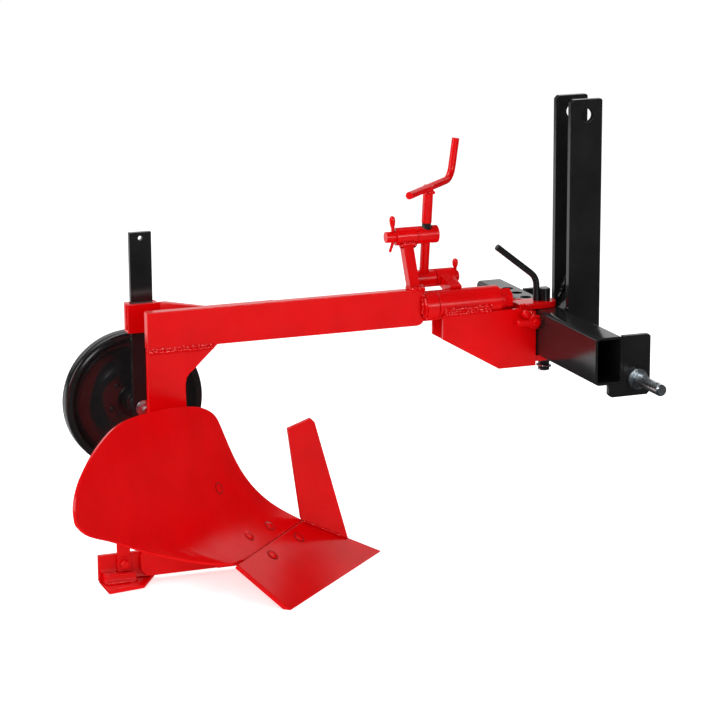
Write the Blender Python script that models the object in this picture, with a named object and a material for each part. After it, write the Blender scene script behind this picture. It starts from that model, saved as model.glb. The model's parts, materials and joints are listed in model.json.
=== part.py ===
"""One-bottom moldboard plough for a three-point hitch.

Metres, +Z up. X points forwards to the tractor, Y to the left. The sizes below are worked out from the middle
of the crossbar's depth, the beam's middle plane and the ground; at the end the whole plough moves so that the
origin is on the ground at the centre of its footprint. It stands on its share and heel.
"""

from math import atan2, cos, pi, radians, sin, tan

import bmesh
import bpy
from mathutils import Matrix, Vector

SEAT = 0.0003  # gap left between two pieces that touch
GROUND = 0.0

# Crossbar, a rectangular tube across the plough's line of travel
TUBE_DEPTH = 0.056
TUBE_HEIGHT = 0.090
TUBE_WALL = 0.005
TUBE_CORNER = 0.008
TUBE_LENGTH = 0.550
TUBE_RIGHT_Y = -0.287
PIN_HOLE_PITCH = 0.0435
PIN_HOLES_TO_THE_LEFT = 4

# Hitch
MAST_PLATE_DEPTH = 0.066
MAST_PLATE_THICK = 0.012
MAST_WIDTH = 0.0765
MAST_Y = -0.01025
MAST_TOP_ABOVE_TUBE = 0.404
MAST_HOLE_BELOW_TOP = 0.031
MAST_HOLE = 0.0255
MAST_HOLE_FORWARD = 0.0345  # from the plate's rear edge
MAST_CHAMFER = 0.006
MAST_FRONT_CHAMFER = 0.003
HITCH_PLATE_THICK = 0.012
HITCH_PLATE_REACH = 0.0562  # in front of the tube
HITCH_PLATE_DROP = 0.0245  # below the tube
HITCH_PLATE_BACK = 0.028  # under the tube
LEFT_HITCH_PLATE_INSET = 0.097
LINK_PIN = 0.022
LINK_PIN_FLANGE = 0.040
LINK_PIN_FLANGE_THICK = 0.010
LINK_PIN_LENGTH = 0.100
LINK_PIN_FORWARD = 0.028  # from the tube's front face
LINK_PIN_BELOW = 0.082  # from the tube's top face

# Saddle bracket, sleeve and the shaft that the beam rolls on
AXIS_HEIGHT = 0.4785
AXIS_ABOVE_TUBE = 0.021
SADDLE_WIDTH = 0.057
SADDLE_PLATE_THICK = 0.006
SADDLE_LENGTH = 0.193
SADDLE_TUBE_GAP = 0.0023
SADDLE_REAR_HEIGHT = 0.047
SADDLE_TOP_ABOVE_TUBE = 0.006
SADDLE_BELOW_TUBE = 0.0185
SADDLE_FLAT_BOTTOM = 0.077
EAR_THICK = 0.012
EAR_BACK = 0.034  # behind the tube's rear face
SWIVEL_PIN = 0.0216
SWIVEL_PIN_ABOVE_EAR = 0.024
SWIVEL_PIN_BELOW_EAR = 0.0205
PIN_HANDLE = 0.0125
PIN_HANDLE_BEND = 0.058  # above the tube
PIN_HANDLE_RUN = 0.0835
PIN_HANDLE_RISE = 0.066
SLEEVE_OUTER = 0.057
SLEEVE_BORE = 0.0412
SLEEVE_LENGTH = 0.128
BEAM_COLLAR_LENGTH = 0.024
SLEEVE_TUBE_GAP = 0.072
SHAFT = 0.040
SHAFT_THREAD = 0.024
COLLAR = 0.046
COLLAR_LENGTH = 0.008
SHAFT_NUT = 0.036
SHAFT_NUT_LENGTH = 0.017

# Beam and standard
BEAM_HEIGHT = 0.070
BEAM_THICK = 0.020
BEAM_LENGTH = 0.546
BEAM_FRONT_GAP = 0.0008  # between the beam's collar and the sleeve
BEAM_CORNER = 0.016
STANDARD_THICK = 0.012
STANDARD_TOP_LENGTH = 0.136
STANDARD_SHOULDER = 0.090
STANDARD_WAIST = 0.072

# Soil-engaging parts; u is measured back from the share's tip, w out to the right, h up
TIP_AHEAD_OF_BEAM_REAR = 0.462
LANDSIDE_LINE_Y = 0.010
CUT_ANGLE = radians(43.6)
SHARE_SLOPE = radians(36.3)
SHARE_THICK = 0.008  # behind the board's surface
SHARE_PROUD = 0.0015  # in front of it
CUT_WIDTH = 0.273
SHARE_TOP_HEIGHT = 0.080
SHARE_END_BACK = 0.358
SHARE_END_OUT = 0.200
BOARD_THICK = 0.006
BOARD_BEND = 0.340  # u where the shin's curve ends
BOARD_RISE = 0.330  # h where the shin's curve ends
SHIN_LOW_PULL = 0.157
SHIN_HIGH_PULL = 0.097
SHIN_HIGH_ANGLE = radians(62)
BOARD_TOP = ((0.0, 0.3085), (0.004, 0.3175), (0.009, 0.3225), (0.044, 0.3374), (0.0975, 0.352),
             (0.153, 0.3608), (0.182, 0.3636), (0.214, 0.3603), (0.244, 0.3516), (0.286, 0.3344),
             (0.315, 0.3176), (0.334, 0.3048), (0.353, 0.2867), (0.367, 0.268), (0.374, 0.2517), (0.3755,
                                                                                                  0.2440))
BOARD_BOTTOM = ((0.0, 0.0802), (0.100, 0.0777), (0.190, 0.0756), (0.2176, 0.0889), (0.2404, 0.1079),
                (0.2652, 0.1301), (0.2932, 0.1558), (0.3242, 0.1858), (0.3619, 0.2139), (0.3740, 0.2306),
                (0.3755, 0.2380))
BOARD_COLUMNS = 22
BOARD_ROWS = 9
KNIFE_THICK = 0.008
KNIFE_LEFT_Y = 0.011
KNIFE_CORNERS = ((0.1895, 0.2655), (0.1430, 0.2812), (0.1345, 0.2722), (0.0590, 0.0), (0.1530, 0.0))
LANDSIDE_THICK = 0.010
LANDSIDE_HEIGHT = 0.058
LANDSIDE_REAR_BEHIND_BEAM = 0.100
LANDSIDE_FRONT_U = 0.125
HEEL_THICK = 0.007
STRAP_THICK = 0.006
STRAP_WIDTH = 0.025

# Levelling crank: an upper trunnion on the beam's arm, a lower one on the sleeve's arm
UPPER_PIVOT_LEFT = 0.048
UPPER_PIVOT_UP = 0.128
LOWER_PIVOT_LEFT = 0.060
LOWER_PIVOT_UP = 0.040
SCREW_BEHIND_TUBE = 0.227
ARM_BAR = 0.020
LOWER_ARM_BAR = 0.024
TRUNNION = 0.034
TRUNNION_LENGTH = 0.044
TRUNNION_GAP = 0.0008
TRUNNION_PIN = 0.021
UPPER_BOSS_LENGTH = 0.040
LOWER_BOSS_LENGTH = 0.038
UPPER_PIN_STUB = 0.020
LOWER_PIN_STUB = 0.010
LYNCH_PIN = 0.0075
LYNCH_PIN_FROM_BOSS = 0.0048
SCREW = 0.018
SCREW_BORE = 0.0225
GRIP_TUBE = 0.0195
GRIP_TUBE_FOOT = 0.0245  # from the upper pivot, along the screw
HANDLE_ROD = 0.0145
HANDLE_RISE = 0.093  # from the upper pivot to the cross bar, along the screw
HANDLE_BACK = 0.093
HANDLE_FRONT = 0.109
HANDLE_YAW = radians(45)
HANDLE_TIP = (0.012, 0.002, 0.078)  # from the cross bar's front corner
HANDLE_BEND = 0.026

# Gauge wheel, its post and bracket
POST_WIDTH = 0.042
POST_THICK = 0.010
POST_Y = 0.084
POST_X_FROM_BEAM_REAR = 0.018
POST_TOP_ABOVE_BEAM = 0.132
POST_HOLE = 0.0085
POST_HOLE_BELOW_TOP = 0.011
POST_RUNNING_GAP = 0.0008
WHEEL = 0.268
WHEEL_WIDTH = 0.037
WHEEL_NEAR_Y = 0.144
WHEEL_AXLE_BELOW_TUBE = 0.1475
WHEEL_SHELL = 0.003
HUB = 0.040
HUB_LENGTH = 0.050
AXLE = 0.0155
AXLE_BORE = 0.0170
BRACKET_THICK = 0.008
BRACKET_HEIGHT = 0.055
BRACKET_BELOW_BEAM_TOP = 0.001
BRACKET_FLANGE = 0.135
BRACKET_STRAIGHT = 0.067
BRACKET_RUN = 0.062

ROUND = 24
MM = 0.001

# Places that follow from the sizes above
TUBE_TOP = AXIS_HEIGHT - AXIS_ABOVE_TUBE
TUBE_BOTTOM = TUBE_TOP - TUBE_HEIGHT
TUBE_FRONT = TUBE_DEPTH / 2
TUBE_REAR = -TUBE_DEPTH / 2
TUBE_LEFT_Y = TUBE_RIGHT_Y + TUBE_LENGTH
SLEEVE_FRONT = TUBE_REAR - SLEEVE_TUBE_GAP
SLEEVE_REAR = SLEEVE_FRONT - SLEEVE_LENGTH
BEAM_FRONT = SLEEVE_REAR - BEAM_FRONT_GAP - BEAM_COLLAR_LENGTH
BEAM_REAR = BEAM_FRONT - BEAM_LENGTH
BEAM_TOP = AXIS_HEIGHT + BEAM_HEIGHT / 2
BEAM_BOTTOM = AXIS_HEIGHT - BEAM_HEIGHT / 2
TIP_X = BEAM_REAR + TIP_AHEAD_OF_BEAM_REAR
UPPER_PIVOT = Vector((0, UPPER_PIVOT_LEFT, AXIS_HEIGHT + UPPER_PIVOT_UP))
LOWER_PIVOT = Vector((0, LOWER_PIVOT_LEFT, AXIS_HEIGHT + LOWER_PIVOT_UP))
SCREW_X = -SCREW_BEHIND_TUBE
POST_X = BEAM_REAR + POST_X_FROM_BEAM_REAR
AXLE_HEIGHT = TUBE_TOP - WHEEL_AXLE_BELOW_TUBE


def clear_scene():
    for item in list(bpy.data.objects):
        bpy.data.objects.remove(item, do_unlink=True)


def make_material(name, colour, roughness, metallic):
    material = bpy.data.materials.new(name)
    material.use_nodes = True
    shader = material.node_tree.nodes["Principled BSDF"]
    shader.inputs["Base Color"].default_value = (*colour, 1)
    shader.inputs["Roughness"].default_value = roughness
    shader.inputs["Metallic"].default_value = metallic
    return material


def group(name, place):
    empty = bpy.data.objects.new(name, None)
    empty.location = place
    bpy.context.scene.collection.objects.link(empty)
    return empty


def finish_object(item, parent, material):
    item.data.materials.append(material)
    if parent is not None:
        item.parent = parent
        item.matrix_parent_inverse = Matrix.Translation(-parent.location)
    return item


def from_bmesh(name, mesh_data, parent, material):
    bmesh.ops.recalc_face_normals(mesh_data, faces=mesh_data.faces)
    mesh = bpy.data.meshes.new(name)
    mesh_data.to_mesh(mesh)
    mesh_data.free()
    item = bpy.data.objects.new(name, mesh)
    bpy.context.scene.collection.objects.link(item)
    mesh.shade_smooth()
    mesh.set_sharp_from_angle(angle=radians(35))
    return finish_object(item, parent, material)


def in_space(axis, a, b, along):
    """The point with coordinates a, b in the plane across an axis, at a place along that axis."""
    if axis == "x":
        return Vector((along, a, b))
    if axis == "y":
        return Vector((a, along, b))
    return Vector((a, b, along))


def prism(name, outline, axis, low, high, parent, material):
    """An outline in the plane across an axis, given thickness along it."""
    data = bmesh.new()
    first = [data.verts.new(in_space(axis, a, b, low)) for a, b in outline]
    second = [data.verts.new(in_space(axis, a, b, high)) for a, b in outline]
    data.faces.new(first)
    data.faces.new(second)
    for i in range(len(outline)):
        j = (i + 1) % len(outline)
        data.faces.new((first[i], first[j], second[j], second[i]))
    return from_bmesh(name, data, parent, material)


def block(name, low, high, parent, material):
    outline = ((low[0], low[1]), (high[0], low[1]), (high[0], high[1]), (low[0], high[1]))
    return prism(name, outline, "z", low[2], high[2], parent, material)


def rounded_box_outline(a0, b0, a1, b1, radius, steps=4):
    points = []
    centres = ((a1 - radius, b0 + radius, -90), (a1 - radius, b1 - radius, 0),
               (a0 + radius, b1 - radius, 90), (a0 + radius, b0 + radius, 180))
    for ca, cb, start in centres:
        for k in range(steps + 1):
            angle = radians(start + 90 * k / steps)
            points.append((ca + radius * cos(angle), cb + radius * sin(angle)))
    return points


def rod(name, start, end, diameter, parent, material, sides=ROUND):
    """A round bar from one point to another."""
    start, end = Vector(start), Vector(end)
    turn = (end - start).to_track_quat("Z", "Y").to_matrix().to_4x4()
    data = bmesh.new()
    bmesh.ops.create_cone(data, cap_ends=True, segments=sides, radius1=diameter / 2, radius2=diameter / 2,
                          depth=(end - start).length)
    bmesh.ops.transform(data, matrix=Matrix.Translation((start + end) / 2) @ turn, verts=data.verts)
    return from_bmesh(name, data, parent, material)


def bent_points(corners, radius, steps=5):
    """Corner points with each inner corner turned into a bend."""
    points = [Vector(corners[0])]
    for before, corner, after in zip(corners, corners[1:], corners[2:]):
        corner = Vector(corner)
        back = (Vector(before) - corner).normalized()
        ahead = (Vector(after) - corner).normalized()
        half = back.angle(ahead) / 2
        reach = radius / tan(half)
        centre = corner + (back + ahead).normalized() * radius / sin(half)
        first = (corner + back * reach - centre).normalized()
        last = (corner + ahead * reach - centre).normalized()
        for k in range(steps + 1):
            points.append(centre + first.slerp(last, k / steps) * radius)
    points.append(Vector(corners[-1]))
    return points


def bent_rod(name, corners, diameter, bend, parent, material, sides=16):
    """A round bar that follows corner points with bends."""
    points = bent_points(corners, bend)
    data = bmesh.new()
    rings = []
    across = (points[1] - points[0]).orthogonal().normalized()
    for i, point in enumerate(points):
        before = points[max(i - 1, 0)]
        after = points[min(i + 1, len(points) - 1)]
        along = (after - before).normalized()
        across = (across - along * across.dot(along)).normalized()
        aside = along.cross(across)
        ring = []
        for k in range(sides):
            angle = 2 * pi * k / sides
            ring.append(data.verts.new(point + (across * cos(angle) + aside * sin(angle)) * diameter / 2))
        rings.append(ring)
    for here, there in zip(rings, rings[1:]):
        for k in range(sides):
            j = (k + 1) % sides
            data.faces.new((here[k], here[j], there[j], there[k]))
    data.faces.new(rings[0])
    data.faces.new(rings[-1])
    return from_bmesh(name, data, parent, material)


def turned(name, profile, place, parent, material, sides=32):
    """A closed profile of (y, radius) points spun about an axis along Y."""
    data = bmesh.new()
    rings = []
    for k in range(sides):
        angle = 2 * pi * k / sides
        ring = [data.verts.new(Vector((r * cos(angle), y, r * sin(angle))) + Vector(place)) for y,
                r in profile]
        rings.append(ring)
    count = len(profile)
    for k in range(sides):
        here, there = rings[k], rings[(k + 1) % sides]
        for i in range(count):
            j = (i + 1) % count
            data.faces.new((here[i], here[j], there[j], there[i]))
    return from_bmesh(name, data, parent, material)


def combine(target, tool, operation):
    """Adds or cuts away a helper shape, which isn't a piece itself."""
    tool.hide_render = True
    tool.display_type = "WIRE"
    modifier = target.modifiers.new(tool.name, "BOOLEAN")
    modifier.operation = operation
    modifier.object = tool
    return target


def cut(target, tool):
    return combine(target, tool, "DIFFERENCE")


def join(target, tool):
    return combine(target, tool, "UNION")


# ---------------------------------------------------------------- hitch frame

def make_crossbar(body, paint):
    outer = rounded_box_outline(TUBE_REAR, TUBE_BOTTOM, TUBE_FRONT, TUBE_TOP, TUBE_CORNER)
    bar = prism("crossbar", outer, "y", TUBE_RIGHT_Y, TUBE_LEFT_Y, body, paint)
    inner = rounded_box_outline(TUBE_REAR + TUBE_WALL, TUBE_BOTTOM + TUBE_WALL, TUBE_FRONT - TUBE_WALL,
                                TUBE_TOP - TUBE_WALL, max(TUBE_CORNER - TUBE_WALL, MM))
    cut(bar, prism("crossbar_void", inner, "y", TUBE_RIGHT_Y - 0.01, TUBE_LEFT_Y + 0.01, None, paint))
    for k in range(PIN_HOLES_TO_THE_LEFT + 1):
        y = k * PIN_HOLE_PITCH
        hole = rod(f"crossbar_hole_{k}", (0, y, TUBE_BOTTOM - 0.01), (0, y, TUBE_TOP + 0.01),
                   SWIVEL_PIN + 2 * SEAT, None, paint)
        cut(bar, hole)
    return bar


def mast_y(side):
    """The middle plane of one mast plate; side is 1 for the left plate and -1 for the right one."""
    return MAST_Y + side * (MAST_WIDTH - MAST_PLATE_THICK) / 2


def make_mast_plate(name, side, body, paint):
    x0 = TUBE_FRONT + SEAT
    x1 = x0 + MAST_PLATE_DEPTH
    top = TUBE_TOP + MAST_TOP_ABOVE_TUBE
    bottom = TUBE_BOTTOM
    outline = ((x0, bottom), (x1, bottom), (x1, top - MAST_FRONT_CHAMFER), (x1 - MAST_FRONT_CHAMFER, top),
               (x0 + MAST_CHAMFER, top), (x0, top - MAST_CHAMFER))
    y = mast_y(side)
    plate = prism(name, outline, "y", y - MAST_PLATE_THICK / 2, y + MAST_PLATE_THICK / 2, body, paint)
    hole_x = x0 + MAST_HOLE_FORWARD
    height = top - MAST_HOLE_BELOW_TOP
    start, end = (hole_x, y - 0.02, height), (hole_x, y + 0.02, height)
    return cut(plate, rod(f"{name}_hole", start, end, MAST_HOLE, None, paint))


def make_mast_web(body, paint):
    """The leaning plate between the mast plates, at the tube."""
    x0 = TUBE_FRONT + SEAT
    low = TUBE_TOP - 0.045
    high = TUBE_TOP + 0.062
    lean = 0.040
    thick = 0.010
    outline = ((x0, low), (x0 + thick, low), (x0 + thick + lean, high), (x0 + lean, high), (x0,
                                                                                            TUBE_TOP - 0.012))
    half = MAST_WIDTH / 2 - MAST_PLATE_THICK - SEAT
    return prism("mast_web", outline, "y", MAST_Y - half, MAST_Y + half, body, paint)


def make_hitch_plate(name, right_face, body, paint):
    """A notched plate that stands in front of the tube and wraps under it."""
    x0 = TUBE_FRONT + SEAT
    x1 = x0 + HITCH_PLATE_REACH
    rear = x0 - HITCH_PLATE_BACK
    under = TUBE_BOTTOM - SEAT
    low = under - HITCH_PLATE_DROP
    chamfer = 0.006
    outline = ((rear + chamfer, low), (x1 - chamfer, low), (x1, low + chamfer), (x1, TUBE_TOP - 0.004),
               (x1 - 0.004, TUBE_TOP), (x0, TUBE_TOP), (x0, under), (rear, under), (rear, low + chamfer))
    return prism(name, outline, "y", right_face, right_face + HITCH_PLATE_THICK, body, paint)


def make_link_pin(name, face_y, side, body, zinc):
    """A flanged lower-link pin standing out from a hitch plate's face."""
    x = TUBE_FRONT + LINK_PIN_FORWARD
    z = TUBE_TOP - LINK_PIN_BELOW
    start = face_y + side * SEAT
    pin = rod(name, (x, start, z), (x, start + side * LINK_PIN_LENGTH, z), LINK_PIN, body, zinc)
    flange = rod(f"{name}_flange", (x, start, z), (x, start + side * LINK_PIN_FLANGE_THICK, z),
                 LINK_PIN_FLANGE,
                 None, zinc)
    hole_y = start + side * (LINK_PIN_LENGTH - 0.013)
    join(pin, flange)
    return cut(pin, rod(f"{name}_hole", (x, hole_y, z - 0.02), (x, hole_y, z + 0.02), 0.008, None, zinc,
                        12))


def saddle_outline():
    front = TUBE_REAR - SADDLE_TUBE_GAP
    rear = front - SADDLE_LENGTH
    top = TUBE_TOP + SADDLE_TOP_ABOVE_TUBE
    bottom = TUBE_BOTTOM - SADDLE_BELOW_TUBE
    return ((front, bottom), (front, TUBE_TOP - 0.002), (front - EAR_BACK, top), (rear, top),
            (rear, top - SADDLE_REAR_HEIGHT), (front - SADDLE_FLAT_BOTTOM, bottom))


def make_saddle_plate(name, side, body, paint):
    """One side plate of the saddle, notched on its top edge where the sleeve sits."""
    outer = side * SADDLE_WIDTH / 2
    inner = side * (SADDLE_WIDTH / 2 - SADDLE_PLATE_THICK)
    plate = prism(name, saddle_outline(), "y", min(outer, inner), max(outer, inner), body, paint)
    seat = rod(f"{name}_seat", (SLEEVE_REAR - 0.05, 0, AXIS_HEIGHT), (SLEEVE_FRONT + 0.0005, 0,
                                                                      AXIS_HEIGHT),
               SLEEVE_OUTER + 2 * SEAT, None, paint, 2 * ROUND)
    return cut(plate, seat)


def ear_outline(rear):
    half = SADDLE_WIDTH / 2 - SADDLE_PLATE_THICK - SEAT
    points = [(rear, half), (rear, -half)]
    for k in range(13):
        angle = radians(-90 + 180 * k / 12)
        points.append((half * cos(angle), half * sin(angle)))
    return points


def make_ear(name, low, body, paint):
    """A plate over or under the tube, held between the saddle's side plates, that the pin passes through."""
    rear = TUBE_REAR - EAR_BACK
    ear = prism(name, ear_outline(rear), "z", low, low + EAR_THICK, body, paint)
    hole = rod(f"{name}_hole", (0, 0, low - 0.01), (0, 0, low + EAR_THICK + 0.01), SWIVEL_PIN + 2 * SEAT,
               None, paint)
    return cut(ear, hole)


def make_saddle_tie(body, paint):
    """The plate that joins the saddle's side plates under the sleeve."""
    half = SADDLE_WIDTH / 2 - SADDLE_PLATE_THICK - SEAT
    x1 = TUBE_REAR - SADDLE_TUBE_GAP - SADDLE_FLAT_BOTTOM
    return block("saddle_tie", (x1 - 0.06, -half, TUBE_TOP - 0.035), (x1, half, TUBE_TOP - 0.027), body,
                 paint)


def make_swivel_pin(body, black):
    top = TUBE_TOP + SEAT + EAR_THICK + SWIVEL_PIN_ABOVE_EAR
    bottom = TUBE_BOTTOM - SEAT - EAR_THICK - SWIVEL_PIN_BELOW_EAR
    return rod("bracket_pin", (0, 0, bottom), (0, 0, top), SWIVEL_PIN, body, black)


def make_pin_handle(body, black):
    x = -(SWIVEL_PIN + PIN_HANDLE) / 2 - SEAT
    low = TUBE_TOP + EAR_THICK + 2 * SEAT
    bend_height = TUBE_TOP + PIN_HANDLE_BEND
    end = (x - PIN_HANDLE_RUN, 0, bend_height + PIN_HANDLE_RISE)
    corners = ((x, 0, low), (x, 0, bend_height), end)
    return bent_rod("bracket_pin_handle", corners, PIN_HANDLE, 0.030, body, black)


def make_pin_clip(body, zinc):
    """The washer held under the lower ear by its lynch pin."""
    high = TUBE_BOTTOM - 2 * SEAT - EAR_THICK
    clip = rod("bracket_pin_washer", (0, 0, high - 0.004), (0, 0, high), 0.034, body, zinc)
    return cut(clip, rod("bracket_pin_washer_hole", (0, 0, high - 0.01), (0, 0, high + 0.01),
                         SWIVEL_PIN + 2 * SEAT, None, zinc))


def make_set_screw(body, paint):
    """The clamp screw through a nut block on the right side plate."""
    y = -SADDLE_WIDTH / 2 - SEAT
    x1 = TUBE_REAR - SADDLE_TUBE_GAP
    z = TUBE_TOP - 0.022
    nut = block("set_screw", (x1 - 0.024, y - 0.020, z - 0.012), (x1, y, z + 0.012), body, paint)
    return join(nut, rod("set_screw_bolt", (x1 - 0.052, y - 0.010, z), (x1 - 0.02, y - 0.010, z), 0.012,
                         None, paint, 12))


def make_roll_sleeve(body, paint):
    sleeve = rod("roll_sleeve", (SLEEVE_REAR, 0, AXIS_HEIGHT), (SLEEVE_FRONT, 0, AXIS_HEIGHT), SLEEVE_OUTER,
                 body,
                 paint, 2 * ROUND)
    return cut(sleeve, rod("roll_sleeve_bore", (SLEEVE_REAR - 0.01, 0, AXIS_HEIGHT),
                           (SLEEVE_FRONT + 0.01, 0, AXIS_HEIGHT), SLEEVE_BORE, None, paint, 2 * ROUND))


# ---------------------------------------------------------------- levelling crank

def screw_direction():
    return (UPPER_PIVOT - LOWER_PIVOT).normalized()


def trunnion_rear_x():
    return SCREW_X - TRUNNION_LENGTH / 2


def trunnion_front_x():
    return SCREW_X + TRUNNION_LENGTH / 2


def across_bar(name, start, end, size, x, body, paint):
    """A square bar that leans in the plane across the plough."""
    start, end = Vector(start), Vector(end)
    along = (end - start).normalized()
    aside = Vector((0, along.z, -along.y)) * size / 2
    outline = [((p + s * aside).y, (p + s * aside).z) for p, s in ((start, 1), (end, 1), (end, -1), (start,
                                                                                                     -1))]
    return prism(name, outline, "x", x - size / 2, x + size / 2, body, paint)


def make_upper_arm(body, paint):
    """The bar on the beam's front end, with the boss for the upper trunnion's pin."""
    boss_front = trunnion_rear_x() - TRUNNION_GAP
    boss_rear = boss_front - UPPER_BOSS_LENGTH
    x = (boss_front + boss_rear) / 2
    foot = Vector((0, 0, BEAM_TOP + SEAT))
    arm = across_bar("upper_arm", foot - Vector((0, 0, 0.012)), UPPER_PIVOT, ARM_BAR, x, body, paint)
    trim = block("upper_arm_trim", (x - 0.05, -0.08, BEAM_TOP - 0.08), (x + 0.05, 0.08, BEAM_TOP + SEAT),
                 None, paint)
    cut(arm, trim)
    y, z = UPPER_PIVOT.y, UPPER_PIVOT.z
    join(arm, rod("upper_arm_boss", (boss_rear, y, z), (boss_front, y, z), TRUNNION, None, paint))
    bore = rod("upper_arm_bore", (boss_rear - 0.01, y, z), (boss_front + 0.01, y, z), TRUNNION_PIN + 0.0008,
               None, paint)
    return cut(arm, bore)


def make_lower_arm(body, paint):
    """The bar on the sleeve, with the boss for the lower trunnion's pin."""
    boss_rear = trunnion_front_x() + TRUNNION_GAP
    boss_front = boss_rear + LOWER_BOSS_LENGTH
    x = (boss_front + boss_rear) / 2
    y, z = LOWER_PIVOT.y, LOWER_PIVOT.z
    root = Vector((0, 0.002, z - 0.018))
    arm = across_bar("lower_arm", root, LOWER_PIVOT, LOWER_ARM_BAR, x, body, paint)
    cut(arm, rod("lower_arm_seat", (x - 0.1, 0, AXIS_HEIGHT), (x + 0.1, 0, AXIS_HEIGHT),
                 SLEEVE_OUTER + 2 * SEAT, None,
                 paint, 2 * ROUND))
    join(arm, rod("lower_arm_boss", (boss_rear, y, z), (boss_front, y, z), TRUNNION, None, paint))
    bore = rod("lower_arm_bore", (boss_rear - 0.01, y, z), (boss_front + 0.01, y, z), TRUNNION_PIN + 0.0008,
               None, paint)
    return cut(arm, bore)


def make_trunnion(name, pivot, pin_end, body, paint):
    """A barrel across the screw, with the pin that turns in its arm's boss."""
    x0, x1 = trunnion_rear_x(), trunnion_front_x()
    barrel = rod(name, (x0, pivot.y, pivot.z), (x1, pivot.y, pivot.z), TRUNNION, body, paint)
    start = SCREW_X + (0.018 if pin_end > SCREW_X else -0.018)
    join(barrel, rod(f"{name}_pin", (start, pivot.y, pivot.z), (pin_end, pivot.y, pivot.z), TRUNNION_PIN,
                     None, paint))
    return barrel


def screw_point(along):
    """A point on the screw's axis, at a distance from the lower pivot."""
    point = LOWER_PIVOT + screw_direction() * along
    return Vector((SCREW_X, point.y, point.z))


def make_upper_trunnion(body, paint):
    rear = trunnion_rear_x() - TRUNNION_GAP - UPPER_BOSS_LENGTH - UPPER_PIN_STUB
    barrel = make_trunnion("upper_trunnion", UPPER_PIVOT, rear, body, paint)
    gap = (UPPER_PIVOT - LOWER_PIVOT).length
    return cut(barrel, rod("upper_trunnion_bore", screw_point(gap - 0.03), screw_point(gap + 0.03),
                           SCREW_BORE, None,
                           paint))


def make_lower_trunnion(body, paint):
    front = trunnion_front_x() + TRUNNION_GAP + LOWER_BOSS_LENGTH + LOWER_PIN_STUB
    barrel = make_trunnion("lower_trunnion", LOWER_PIVOT, front, body, paint)
    return cut(barrel, rod("lower_trunnion_bore", screw_point(0.003), screw_point(0.04), SCREW + 2 * SEAT,
                           None, paint))


def make_crank_screw(body, steel):
    gap = (UPPER_PIVOT - LOWER_PIVOT).length
    return rod("crank_screw", screw_point(0.003 + SEAT), screw_point(gap + GRIP_TUBE_FOOT - SEAT), SCREW,
               body, steel)


def make_crank_handle(body, paint):
    """The grip tube on the screw, with its cross bar bent up at the front end."""
    gap = (UPPER_PIVOT - LOWER_PIVOT).length
    foot = gap + GRIP_TUBE_FOOT
    top = gap + HANDLE_RISE
    tube = rod("crank_handle", screw_point(foot), screw_point(top + 0.004), GRIP_TUBE, body, paint)
    middle = screw_point(top)
    level = Vector((cos(HANDLE_YAW), sin(HANDLE_YAW), 0))
    rear = middle - level * HANDLE_BACK
    front = middle + level * HANDLE_FRONT
    tip = front + Vector(HANDLE_TIP)
    return join(tube, bent_rod("crank_handle_bar", (rear, front, tip), HANDLE_ROD, HANDLE_BEND, None,
                               paint))


def make_lynch_pin(name, x, pivot, body, paint):
    """A small pin with a ring-shaped head through the end of a trunnion's pin."""
    y, z = pivot.y, pivot.z + TRUNNION_PIN / 2 + SEAT
    return rod(name, (x, y, z), (x, y, z + 0.024), LYNCH_PIN, body, paint, 12)


# ---------------------------------------------------------------- beam, shaft, standard

def make_beam(body, paint):
    outline = [(BEAM_REAR, BEAM_BOTTOM)]
    outline += [(BEAM_FRONT - BEAM_CORNER + BEAM_CORNER * sin(radians(a)),
                 BEAM_BOTTOM + BEAM_CORNER - BEAM_CORNER * cos(radians(a))) for a in range(0, 91, 15)]
    outline += [(BEAM_FRONT, BEAM_TOP), (BEAM_REAR, BEAM_TOP)]
    return prism("beam", outline, "y", -BEAM_THICK / 2, BEAM_THICK / 2, body, paint)


def make_roll_shaft(body, steel):
    """The shaft welded to the beam's end: its journal fills the sleeve and its thread carries the nut."""
    shaft = rod("roll_shaft", (BEAM_FRONT + SEAT, 0, AXIS_HEIGHT), (SLEEVE_FRONT + 0.0005, 0, AXIS_HEIGHT),
                SHAFT, body,
                steel, 2 * ROUND)
    end = SLEEVE_FRONT + COLLAR_LENGTH + SHAFT_NUT_LENGTH + 0.0015
    thread_start = (SLEEVE_FRONT - 0.01, 0, AXIS_HEIGHT)
    return join(shaft, rod("roll_shaft_thread", thread_start, (end, 0, AXIS_HEIGHT), SHAFT_THREAD, None,
                           steel))


def make_beam_collar(body, paint):
    """The ring welded round the shaft at the beam's end, which the sleeve turns against."""
    start, end = BEAM_FRONT + SEAT, BEAM_FRONT + BEAM_COLLAR_LENGTH
    collar = rod("beam_collar", (start, 0, AXIS_HEIGHT), (end, 0, AXIS_HEIGHT), SLEEVE_OUTER, body, paint,
                 2 * ROUND)
    bore = rod("beam_collar_bore", (start - 0.01, 0, AXIS_HEIGHT), (end + 0.01, 0, AXIS_HEIGHT),
               SHAFT + 2 * SEAT,
               None, paint, 2 * ROUND)
    return cut(collar, bore)


def make_shaft_nut(body, paint):
    start = SLEEVE_FRONT + 0.0008
    end = start + COLLAR_LENGTH + SHAFT_NUT_LENGTH
    nut = rod("shaft_nut", (start, 0, AXIS_HEIGHT), (start + COLLAR_LENGTH, 0, AXIS_HEIGHT), COLLAR, body,
              paint)
    join(nut, rod("shaft_nut_hexagon", (start + COLLAR_LENGTH / 2, 0, AXIS_HEIGHT), (end, 0, AXIS_HEIGHT),
                  SHAFT_NUT / cos(pi / 6), None, paint, 6))
    return cut(nut, rod("shaft_nut_hole", (start - 0.01, 0, AXIS_HEIGHT), (end + 0.01, 0, AXIS_HEIGHT),
                        SHAFT_THREAD + 2 * SEAT, None, paint))


# ---------------------------------------------------------------- soil-engaging surface

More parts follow.
